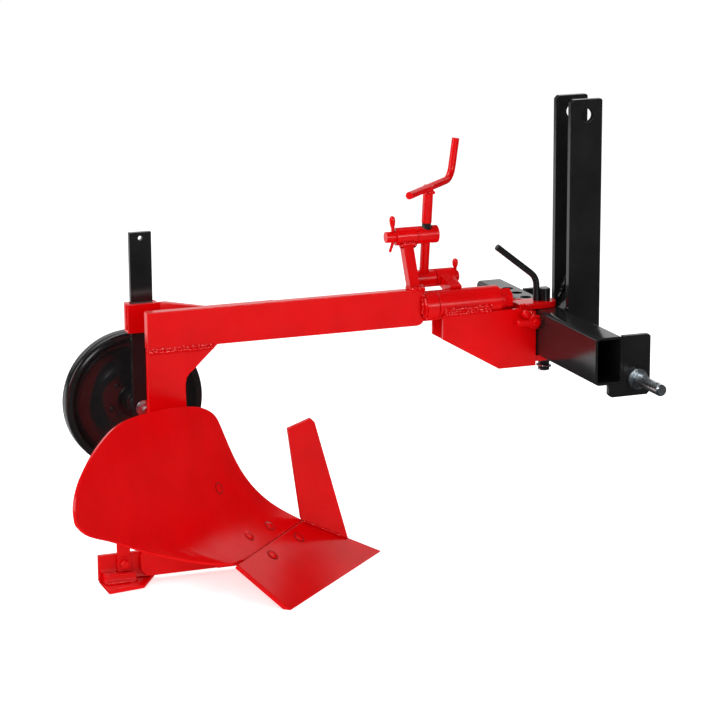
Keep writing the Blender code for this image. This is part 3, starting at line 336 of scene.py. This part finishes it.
def hex_bolt(name, place, normal, flats, height, body, material, slot, washer=0.0):
    """A hexagon head with a chamfered top, and a washer of the given thickness under it."""
    corner = flats / 2 / cos(pi / 6)
    levels = [(washer, corner), (washer + height * 0.82, corner), (washer + height, corner * 0.86)]
    head = from_bmesh(name, spun(levels, place, normal, 6), material, body, 25)
    soften(head, flats * 0.035, 2, 20)
    if washer:
        rim = flats * 0.92
        disc = spun([(0, rim), (washer * 0.7, rim), (washer, flats * 0.88)], place, normal, 32)
        from_bmesh(f"{name}_washer", disc, material, body)
    return head


def surface_of(node):
    """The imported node's surface, for rays that find a place on it."""
    data = bmesh.new()
    data.from_mesh(nodes[node].data)
    tree = BVHTree.FromBMesh(data)
    data.free()
    return tree


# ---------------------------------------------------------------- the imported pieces, with painted edges

# The rounding of the edges, in metres, and the nodes that have it.
EDGES = {
    0.0006: ("bracket_pin_washer",),
    0.0008: ("crossbar", "wheel_axle"),
    0.0010: ("beam_collar", "saddle_tie", "mast_web", "bracket_pin_handle", "roll_shaft"),
    0.0011: ("saddle_plate_left", "saddle_plate_right"),
    0.0012: ("heel_block", "brace_strap", "frog", "post_clamp", "upper_arm", "lower_arm",
             "upper_trunnion", "lower_trunnion", "lower_link_pin_left", "lower_link_pin_right",
             "wheel_post", "crank_handle"),
    0.0014: ("standard", "shin_knife", "landside", "heel_plate", "wheel_bracket", "roll_sleeve",
             "shaft_nut", "saddle_ear_top", "saddle_ear_bottom", "mast_plate_left", "mast_plate_right",
             "hitch_plate_left", "hitch_plate_right"),
    0.0015: ("bracket_pin",),
    0.0016: ("beam",),
    0.0020: ("share",),
}


def make_packed_pieces():
    for width, names in EDGES.items():
        for node in names:
            refined(node, width)


def make_board():
    """The moldboard as one smooth sheet."""
    data = bmesh.new()
    data.from_mesh(nodes["moldboard"].data)
    bmesh.ops.remove_doubles(data, verts=data.verts, dist=MERGE)
    bmesh.ops.join_triangles(data, faces=data.faces, angle_face_threshold=radians(25),
                             angle_shape_threshold=radians(60))
    crease = data.edges.layers.float.new("crease_edge")
    for edge in data.edges:
        if len(edge.link_faces) == 2 and edge.calc_face_angle() > radians(50):
            edge[crease] = 1.0
    piece = from_bmesh("moldboard_finished", data, RED, "plough", 50)
    smooth = piece.modifiers.new("smooth", "SUBSURF")
    smooth.levels = 2
    smooth.render_levels = 2
    soften(piece, 0.0013, 2, 50)
    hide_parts("moldboard")


# ---------------------------------------------------------------- gauge wheel

HUB_PAST_RIM = 0.0065  # how far the hub stands out past the rim on each side
DRAWN_RADIUS = 0.1285  # the wheel's radius for which wheel_side is drawn
HUB_END = 0.0245
HUB_BORE = 0.0090
HUB_EDGE = 0.0175
HUB_NECK = 0.0195
DISC_SHEET = 0.0025
RIM_INSIDE = 0.1165
RIM_BEAD = 0.1175
WHEEL_SIDES = 112
RIVETS = 6
RIVET_CIRCLE = 0.045
RIVET_DEPTH = 0.0112  # from the wheel's middle plane
RIVET = [(-0.001, 0.0055), (0.0008, 0.0055), (0.0024, 0.0042), (0.0032, 0.0018)]


def wheel_side(mid, near, outer):
    """The near side's section as (y, radius), from the bore over the disc to the middle of the tread."""
    hub = [(-HUB_END, HUB_BORE), (-HUB_END, HUB_EDGE), (-0.0235, 0.0190), (-0.0130, HUB_NECK)]
    disc = [(-0.0110, 0.0215), (-0.0112, 0.0290), (-0.0125, 0.0320), (-0.0125, 0.0350), (-0.0110, 0.0385),
            (-0.0112, 0.0520), (-0.0100, 0.0590), (-0.0050, 0.0690), (-0.0010, 0.0760), (0.0012, 0.0830),
            (0.0012, 0.0980), (-0.0010, 0.1060), (-0.0080, 0.1115)]
    rim = [(0.0040, 0.1145), (0.0012, 0.1155), (0.0, RIM_BEAD), (0.0004, 0.1195), (0.0025, 0.1215),
           (0.0034, 0.1240), (0.0038, outer - 0.0018), (0.0060, outer), (0.0125, outer),
           (0.0138, outer - 0.0012), (0.0150, outer)]
    side = [(mid + y, radius) for y, radius in hub + disc] + [(near + y, radius) for y, radius in rim]
    grown = outer / DRAWN_RADIUS
    return [(y, radius * grown if 0.05 < radius < 0.125 else radius) for y, radius in side]


def make_wheel():
    """The pressed disc wheel with its rolled rim, hub and rivets."""
    low, high = node_box("gauge_wheel")
    centre = (low + high) / 2
    near, far = low.y + HUB_PAST_RIM, high.y - HUB_PAST_RIM
    mid = (near + far) / 2
    side = wheel_side(mid, near, (high.x - low.x) / 2)
    outline = side + [(2 * mid - y, radius) for y, radius in reversed(side) if radius > RIM_BEAD]
    outline += [(far - 0.006, RIM_INSIDE)]
    outline += [(y + DISC_SHEET, radius) for y, radius in reversed(side) if 0.0200 < radius < RIM_INSIDE]
    outline += [(mid - 0.0085, HUB_NECK), (mid + 0.0235, HUB_NECK), (mid + HUB_END, HUB_EDGE),
                (mid + HUB_END, HUB_BORE)]
    rings = []
    for k in range(WHEEL_SIDES):
        angle = 2 * pi * k / WHEEL_SIDES
        rings.append([(centre.x + radius * cos(angle), y, centre.z + radius * sin(angle)) for y,
                      radius in outline])
    body, slot = "gauge_wheel_body", "black_paint"
    wheel = from_bmesh("gauge_wheel_pressed", closed_loft(rings), WHEEL_BLACK, body, 40)
    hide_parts("gauge_wheel")
    for k in range(RIVETS):
        angle = 2 * pi * k / RIVETS + 0.3
        spoke = Vector((cos(angle), 0, sin(angle))) * RIVET_CIRCLE
        place = Vector((centre.x, mid - RIVET_DEPTH, centre.z)) + spoke
        from_bmesh(f"gauge_wheel_rivet_{k}", spun(RIVET, place, (0, -1, 0), 20), WHEEL_BLACK, body,
                   60)


# ---------------------------------------------------------------- crank details

SCREW_RADIUS = 0.0089
THREAD_ROOT = 0.0078
THREAD_CREST = 0.0091
THREAD_PITCH = 0.0030
PAINT_PAST_TRUNNION = 0.009  # the paint ends this far above the upper trunnion's axis


def make_screw():
    """The painted lower half of the screw and the bare thread above it."""
    low, high = node_box("crank_screw")
    upper_low, upper_high = node_box("upper_trunnion")
    lower_low, lower_high = node_box("lower_trunnion")
    top_y = (upper_low.y + upper_high.y) / 2
    start = Vector(((low.x + high.x) / 2, (lower_low.y + lower_high.y) / 2,
                    (lower_low.z + lower_high.z) / 2))
    end = Vector((start.x, top_y, (upper_low.z + upper_high.z) / 2))
    along = (end - start).normalized()
    length = (high.z - start.z) / along.z - 0.0008
    split = (end - start).length + PAINT_PAST_TRUNNION
    rod = spun([(0.0035, SCREW_RADIUS), (split, SCREW_RADIUS)], start, along, 32)
    from_bmesh("crank_screw_painted", rod, RED, "crank_body")
    thread = [(split + 0.0003, THREAD_ROOT)]
    position = split + 0.0006
    while position < length - THREAD_PITCH:
        thread += [(position, THREAD_ROOT), (position + 0.0010, THREAD_CREST),
                   (position + 0.0016, THREAD_CREST), (position + 0.0026, THREAD_ROOT)]
        position += THREAD_PITCH
    bare = spun(thread, start, along, 32)
    piece = from_bmesh("crank_screw_thread", bare, THREAD, "crank_body", 25)
    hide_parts("crank_screw")


PIN_HEAD = [(-0.0015, 0.0032), (0.003, 0.0032), (0.0065, 0.0030), (0.0095, 0.0042), (0.0140, 0.0052),
            (0.0205, 0.0058), (0.0255, 0.0052), (0.0285, 0.0034), (0.0298, 0.0010)]
PIN_TAIL = [(0.0, 0.0030), (0.006, 0.0030), (0.013, 0.0027), (0.0175, 0.0030), (0.0195, 0.0012)]
PIN_THROUGH = 0.0216  # from the head's foot to where the tail comes out


def make_lynch_pin(node, body, lean, size=1.0):
    """A teardrop-headed pin through the end of a trunnion's pin, with its tail below."""
    low, high = node_box(node)
    foot = Vector(((low.x + high.x) / 2, (low.y + high.y) / 2, low.z))
    neck = [(along * size, radius) for along, radius in PIN_HEAD]
    head = from_bmesh(f"{node}_head", spun(neck, foot, (lean, 0, 1), 24), RED, body, 60)
    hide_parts(node)
    under = foot - Vector((0, 0, PIN_THROUGH))
    from_bmesh(f"{node}_tail", spun(PIN_TAIL, under, (-0.35, 0, -1), 16), RED, body, 60)


def make_set_screw():
    """The set screw's nut on its plate, with a stem, a T bar and a lug, all painted over."""
    low, high = node_box("set_screw")
    body, slot = "hitch_frame", "red_paint"
    x, z = high.x - 0.0085, (low.z + high.z) / 2 + 0.003
    nut = hex_bolt("set_screw_nut", (x, high.y, z), (0, -1, 0), 0.0270, 0.0165, body, RED, slot)
    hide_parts("set_screw")
    stem = spun([(0.0, 0.0070), (0.023, 0.0070), (0.0245, 0.0055)], (x, high.y, z), (0, -1, 0), 24)
    from_bmesh("set_screw_stem", stem, RED, body)
    bar = spun([(-0.010, 0.0045), (-0.008, 0.0060), (0.033, 0.0060), (0.035, 0.0045)],
               (x - 0.004, low.y + 0.004, z - 0.001), (-1, 0, 0.05), 20)
    from_bmesh("set_screw_bar", bar, RED, body)
    lump = spun([(-0.012, 0.0030), (-0.010, 0.0065), (0.010, 0.0085), (0.016, 0.0065), (0.018, 0.0020)],
                (x - 0.010, high.y - 0.007, z + 0.009), (-0.75, -0.15, 0.62), 20)
    from_bmesh("set_screw_lug", lump, RED, body, 60)
    weld("weld_set_screw", 4.2, [at(-52, -31, 452), at(-42, -32, 455), at(-33, -31, 449)], body)


CLIP_RADIUS = 0.0128
CLIP_WIRE = 0.0021
CLIP_SIDES = 48
CLIP_WIRE_SIDES = 10
CLIP_ABOVE_END = 0.0060
CLIP_SLANT = 0.0012


def make_pin_ring():
    """The clip ring that holds the bracket pin under the lower ear, and the pin's bright end."""
    low, high = node_box("bracket_pin_washer")
    pin_low, _ = node_box("bracket_pin")
    x, y = (low.x + high.x) / 2, (low.y + high.y) / 2
    rings = []
    for k in range(CLIP_SIDES):
        a = 2 * pi * k / CLIP_SIDES
        out = Vector((cos(a), sin(a), 0))
        middle = Vector((x, y, pin_low.z + CLIP_ABOVE_END - CLIP_SLANT * cos(a))) + out * CLIP_RADIUS
        turns = [2 * pi * j / CLIP_WIRE_SIDES for j in range(CLIP_WIRE_SIDES)]
        rings.append([middle + (out * cos(b) + Vector((0, 0, sin(b)))) * CLIP_WIRE for b in turns])
    from_bmesh("bracket_pin_clip_ring", closed_loft(rings), ZINC, "hitch_frame", 60)
    cap = spun([(-0.0002, 0.0112), (0.0022, 0.0112), (0.0028, 0.0104)], (x, y, pin_low.z), (0, 0, -1), 40)
    from_bmesh("bracket_pin_end", cap, ZINC, "hitch_frame", 25)


def make_link_pin_details(node, side):
    """The bright chamfer at a lower link pin's end."""
    low, high = node_box(node)
    end_y = low.y if side < 0 else high.y
    x, z = (low.x + high.x) / 2, (low.z + high.z) / 2
    cap = spun([(-0.0005, 0.0104), (0.0006, 0.0104), (0.0030, 0.0082)], (x, end_y, z), (0, side, 0), 48)
    from_bmesh(f"{node}_chamfer", cap, ZINC, "hitch_frame", 20)


# ---------------------------------------------------------------- bolts

IN_FRONT = 400  # millimetres ahead of the crossbar, from where rays look back at the board
BACKWARD = Vector((-1, 0, 0))
BOLT_HEAD = [(-0.0010, 0.0094), (0.0008, 0.0094), (0.0011, 0.0086), (0.0012, 0.0020)]
# A thin disc under each bolt head; its dark red rim is painted shade standing in for the groove round the
# head.
BOLT_GROOVE_SHADE = [(-0.0010, 0.0112), (0.00065, 0.0112), (0.0007, 0.0106)]
BOARD_BOLTS = {"board_bolt_upper": (-59, 182.5), "board_bolt_front": (-48.5, 95.5),
               "board_bolt_rear": (-100.5, 98)}
SHARE_BOLTS = {"share_bolt_front": (-47.5, 66), "share_bolt_rear": (-126.5, 64.5)}


def make_board_bolts():
    """Flat plough bolts, painted over, in the board and the share, each ringed with dark red painted shade
    where the groove round its head is.
    """
    for node, places in (("moldboard", BOARD_BOLTS), ("share", SHARE_BOLTS)):
        surface = surface_of(node)
        for name, (y, z) in places.items():
            hit, normal, _, _ = surface.ray_cast(at(IN_FRONT, y, z), BACKWARD)
            if hit is None:
                continue
            from_bmesh(name, spun(BOLT_HEAD, hit, normal, 40), RED, "plough", 30)
            # The dark red ring round the head is painted shade for the groove, drawn as a thin proud disc.
            groove_shade = spun(BOLT_GROOVE_SHADE, hit, normal, 40)
            from_bmesh(f"{name}_groove", groove_shade, RED_SHADE, "plough", 30)


SEAM_POINTS = 24
SEAM_STEP = 8.2
SEAM_FALL = 0.19
SEAM_SINK = 0.0012  # the seam's middle lies this deep in the board


def make_share_seam():
    """The painted joint between the share's top edge and the board."""
    board = surface_of("moldboard")
    points = []
    for k in range(SEAM_POINTS):
        start = at(IN_FRONT, 8 - k * SEAM_STEP, 81.5 - k * SEAM_FALL)
        hit, normal, _, _ = board.ray_cast(start, BACKWARD)
        if hit is not None:
            points.append(hit - normal * SEAM_SINK)
    weld("share_seam", 1.6, points, "plough", RED)


STRAP_BOLT_Z = 0.040
FRAME_FLATS = 0.015
BRACKET_FLATS = 0.017


def make_frame_bolts():
    """Hexagon bolts in the brace strap, the landside and the wheel bracket, and the axle's end."""
    strap_low, strap_high = node_box("brace_strap")
    strap_x = (strap_low.x + strap_high.x) / 2
    left_y = node_box("landside")[1].y
    red = ("plough", RED, "red_paint")
    hex_bolt("strap_bolt", (strap_x, strap_high.y - 0.006, STRAP_BOLT_Z), (0, -1, 0), FRAME_FLATS, 0.0075,
             *red, 0.0018)
    hex_bolt("strap_nut", (strap_x, left_y, STRAP_BOLT_Z), (0, 1, 0), FRAME_FLATS, 0.0080, *red, 0.0018)
    for k, x in enumerate((-600, -690, -560)):
        hex_bolt(f"landside_bolt_{k}", (at(x, 0, 0).x, left_y, 0.032), (0, 1, 0), FRAME_FLATS, 0.0060, *red)
    low, high = node_box("wheel_bracket")
    for k, x in enumerate((-647, -594)):
        place = (at(x, 0, 0).x, BEAM_HIGH.y + 0.0083, (low.z + high.z) / 2)
        hex_bolt(f"bracket_bolt_{k}", place, (0, 1, 0), BRACKET_FLATS, 0.009, "plough", ZINC, "zinc_plate",
                 0.002)
    low, high = node_box("wheel_axle")
    x, z = (low.x + high.x) / 2, (low.z + high.z) / 2
    end = spun([(0.0, 0.0072), (0.0035, 0.0072), (0.0048, 0.0060)], (x, low.y + 0.0005, z), (0, -1, 0), 32)
    from_bmesh("axle_end", end, ZINC, "wheel_post_body", 25)
    disc = spun([(0.0, 0.0165), (0.0016, 0.0165), (0.0020, 0.0160)], (x, low.y + 0.0121, z), (0, -1, 0), 40)
    from_bmesh("axle_nut_washer", disc, ZINC, "wheel_post_body", 25)


# ---------------------------------------------------------------- welds

ROLL_AXIS_Z = 478.5


def arc(radius, start, end, x, steps):
    """Points on a circle about the roll axis, in millimetres; degrees from +Y towards +Z."""
    angles = [radians(start + (end - start) * k / steps) for k in range(steps + 1)]
    return [at(x, radius * cos(angle), ROLL_AXIS_Z + radius * sin(angle)) for angle in angles]


def make_plough_welds():
    weld("weld_standard_right", 4.6, [at(-796, -7.5, 441), at(-672, -7.5, 441)], rows=2, spread=(0, 1, 5))
    weld("weld_standard_left", 4.0, [at(-797, 8, 442), at(-675, 8, 442)])
    weld("weld_beam_collar_outer", 5.0, arc(24, -60, 245, -254, 24))
    weld("weld_beam_collar_near", 5.2, arc(16.5, 115, 245, -257, 14))
    weld("weld_beam_front", 5.6, [at(-256, -9, 506), at(-255, -12, 490), at(-256, -13, 476), at(-257, -11,
                                                                                                462)])
    weld("weld_upper_arm", 5.2, [at(-281, -8, 514), at(-257, -9, 514), at(-256, 4, 516), at(-260, 16, 516)])
    weld("weld_upper_arm_rear", 3.2, [at(-280, -8, 515), at(-281, 4, 515), at(-280, 13, 515)])
    for end, x in (("a", -280), ("b", -256)):
        weld(f"weld_upper_boss_{end}", 4.2, [at(x, 31, 595), at(x, 33, 590), at(x, 45, 588)])
    weld("weld_upper_boss_c", 4.0, [at(-280, 31, 594), at(-256, 31, 594)])
    weld("weld_heel", 3.0, [at(-889, -16, 9), at(-836, -16, 9)])
    weld("weld_heel_front", 2.6, [at(-832, -14, 9), at(-832, 4, 9)])
    weld("weld_heel_left", 2.6, [at(-890, 17.5, 8.5), at(-800, 17.5, 8.5)])
    knife = [at(-338 - u, 1.6, u * 0.5066 + 1.0) for u in (84, 100, 116, 132, 148, 160)]
    weld("weld_knife_right", 2.6, knife)
    weld("weld_knife_left", 2.2, [point + Vector((0, 0.0105, -0.001)) for point in knife])
    for end, x in (("rear", -811.5), ("front", -750.5)):
        weld(f"weld_post_clamp_{end}", 2.4, [at(x, 83.5, 463), at(x, 83.5, 512)])
    weld("weld_frog", 3.0, [at(-700, -8, 69), at(-560, -8, 69)])


def make_hitch_welds():
    body = "hitch_frame"
    for name, side in (("right", -1), ("left", 1)):
        y = 27.5 * side
        weld(f"weld_sleeve_{name}", 4.6, [at(-220, y, 468.5), at(-122, y, 469)], body, rows=3, spread=(0, 0,
                                                                                                       9))
        y = 23.2 * side
        weld(f"weld_ear_{name}", 2.8, [at(-61, y, 470), at(-33, y, 467)], body)
        y = 22.8 * side
        weld(f"weld_lower_ear_{name}", 2.8, [at(-60, y, 354.5), at(-31, y, 354.5)], body)
    weld("weld_lower_arm", 3.2, [at(-197, 6, 507), at(-197, 22, 499), at(-195, 28.5, 490)], body)
    weld("weld_lower_arm_front", 3.2, [at(-173, 6, 507), at(-173, 22, 499), at(-174, 28.5, 490)], body)
    for name, radius, points in (
        ("mast_right", 3.6, [(29, -48, 459), (29, -37, 459)]),
        ("mast_left", 3.0, [(29, 15, 459), (29, 29, 459)]),
        ("mast_web_left", 5.2, [(38, 16, 466), (44, 15, 482), (50, 15, 496), (57, 15, 514)]),
        ("mast_web_right", 3.6, [(50, -36, 480), (56, -36, 494), (62, -36, 510)]),
        ("hitch_plate_right", 3.0, [(29, -274, 372), (29, -274, 452)]),
        ("hitch_plate_left", 3.0, [(29, 152.6, 372), (29, 152.6, 452)]),
    ):
        weld(f"weld_{name}", radius, [at(*point) for point in points], body, BLACK_WELD)


def make_crank_welds():
    weld("weld_handle", 3.4, [at(-237, 36, 690), at(-230, 27, 690), at(-219, 30, 690), at(-216, 38, 690)],
         "crank_body")


# ---------------------------------------------------------------- floor, light, camera

FLOOR_REACH = 45
FLOOR_DROP = 0.0004  # keeps the floor out of the faces that stand on it
WHITE = (1, 1, 1, 1)


def add_sheet(name, width, depth, colour, glow):
    """A flat rectangle that belongs to the studio and gives off some light of its own."""
    data = bmesh.new()
    corners = ((-1, -1), (1, -1), (1, 1), (-1, 1))
    data.faces.new([data.verts.new((a * width / 2, b * depth / 2, 0)) for a, b in corners])
    mesh = bpy.data.meshes.new(name)
    data.to_mesh(mesh)
    data.free()
    s = Shader(name, colour, 1.0)
    s.set("Specular IOR Level", 0.0)
    s.set("Emission Color", WHITE)
    s.set("Emission Strength", glow)
    mesh.materials.append(s.material)
    sheet = bpy.data.objects.new(name, mesh)
    bpy.context.scene.collection.objects.link(sheet)
    return sheet


def make_floor():
    floor = add_sheet("floor", 2 * FLOOR_REACH, 2 * FLOOR_REACH, (0.90, 0.90, 0.90), 0.62)
    floor.location.z = -FLOOR_DROP
    floor.visible_glossy = False


def aim(item, place, target, axis):
    """Puts an object at a place with one of its axes towards a target."""
    item.location = place
    item.rotation_euler = (Vector(target) - Vector(place)).to_track_quat(axis, "Y").to_euler()


def add_softbox(name, place, target, size, power):
    light = bpy.data.lights.new(name, "AREA")
    light.shape = "RECTANGLE"
    light.size, light.size_y = size
    light.energy = power
    item = bpy.data.objects.new(name, light)
    aim(item, place, target, "-Z")
    bpy.context.scene.collection.objects.link(item)


def add_card(name, place, target, size, strength):
    """A white card beside the plough, seen only in its reflections."""
    card = add_sheet(name, *size, (0, 0, 0), strength)
    aim(card, place, target, "Z")
    card.visible_camera = False
    card.visible_diffuse = False
    card.visible_shadow = False


WORLD_LIGHT = 0.42
WORLD_IN_REFLECTIONS = 0.025


def make_light():
    world = bpy.data.worlds.new("studio")
    world.use_nodes = True
    tree = world.node_tree
    background = tree.nodes["Background"]
    path = tree.nodes.new("ShaderNodeLightPath")
    amount = tree.nodes.new("ShaderNodeMapRange")
    amount.inputs["To Min"].default_value = WORLD_LIGHT
    amount.inputs["To Max"].default_value = WORLD_IN_REFLECTIONS
    tree.links.new(path.outputs["Is Glossy Ray"], amount.inputs["Value"])
    tree.links.new(amount.outputs["Result"], background.inputs["Strength"])
    background.inputs["Color"].default_value = WHITE
    bpy.context.scene.world = world
    add_card("back_card", (0.6, 3.5, 1.25), (0, 0, 0.5), (4.6, 1.5), 0.9)
    add_card("share_card", (2.45, 1.75, 2.18), (0, 0, 0.1), (2.4, 1.3), 0.8)
    add_card("low_card", (-1.9, 2.6, 0.004), (-1.9, 2.6, 1.0), (3.4, 4.4), 0.9)
    add_softbox("overhead", (-0.6, 0.9, 3.2), (-0.1, 0, 0.3), (3.2, 2.2), 56)
    add_softbox("left", (-3.6, 0.3, 1.9), (0, 0, 0.3), (1.6, 2.0), 30)
    add_softbox("front_left", (-3.2, -3.6, 3.4), (0, 0, 0.3), (2.0, 1.6), 58)
    add_softbox("front_right", (1.2, -4.4, 1.5), (0, 0, 0.4), (1.6, 1.2), 42)


LENS = 137.35
SENSOR = 36
CAMERA_PLACE = (-2172.0, -4705.4, 1613.7)
CAMERA_TURN = (76.290, 0.321, -20.918)


def make_camera():
    camera = bpy.data.cameras.new("camera")
    camera.sensor_width = SENSOR
    camera.lens = LENS
    camera.clip_end = 100
    item = bpy.data.objects.new("camera", camera)
    item.location = at(*CAMERA_PLACE)
    item.rotation_euler = [radians(angle) for angle in CAMERA_TURN]
    bpy.context.scene.collection.objects.link(item)
    bpy.context.scene.camera = item


def main():
    scene = bpy.context.scene
    scene.view_settings.view_transform = "Standard"
    make_camera()
    make_light()
    make_floor()
    make_packed_pieces()
    make_board()
    make_wheel()
    make_screw()
    make_lynch_pin("lynch_pin_upper", "upper_trunnion_body", -0.05)
    make_lynch_pin("lynch_pin_lower", "lower_trunnion_body", 0.0, 0.78)
    make_set_screw()
    make_pin_ring()
    make_link_pin_details("lower_link_pin_right", -1)
    make_link_pin_details("lower_link_pin_left", 1)
    make_board_bolts()
    make_share_seam()
    make_frame_bolts()
    make_plough_welds()
    make_hitch_welds()
    make_crank_welds()
    bpy.context.view_layer.update()


main()
